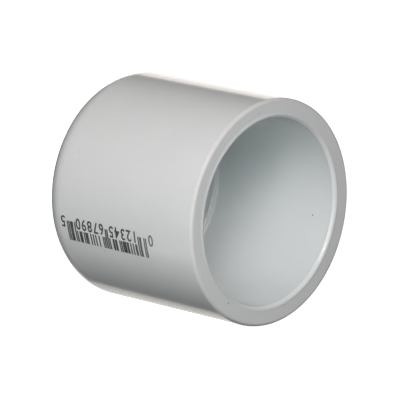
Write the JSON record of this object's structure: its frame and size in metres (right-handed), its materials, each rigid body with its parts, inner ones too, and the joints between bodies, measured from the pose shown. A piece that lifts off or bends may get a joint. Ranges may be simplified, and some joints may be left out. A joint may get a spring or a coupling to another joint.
{
  "type": "pipe cap",
  "caption": "Moulded plastic slip cap that closes the end of a pipe: a round barrel with one closed end and a smooth socket with a pipe stop inside.",
  "frame": {"origin": "centre of the closed end's outer face, where the cap stands on a table", "axes": "+Z along the socket's axis, out of the mouth; the printed bar code faces -Y and reads from the mouth towards the closed end"},
  "size_m": [0.0408, 0.0408, 0.037],
  "materials": {
    "pvc": "off-white to light grey rigid PVC as moulded, satin, with a soft sheen at grazing angles",
    "print_ink": "black ink-jet print, matt, a little uneven"
  },
  "bodies": {
    "root": {"cap_body": "pvc", "barcode_print": "print_ink"}
  },
  "joints": []
}
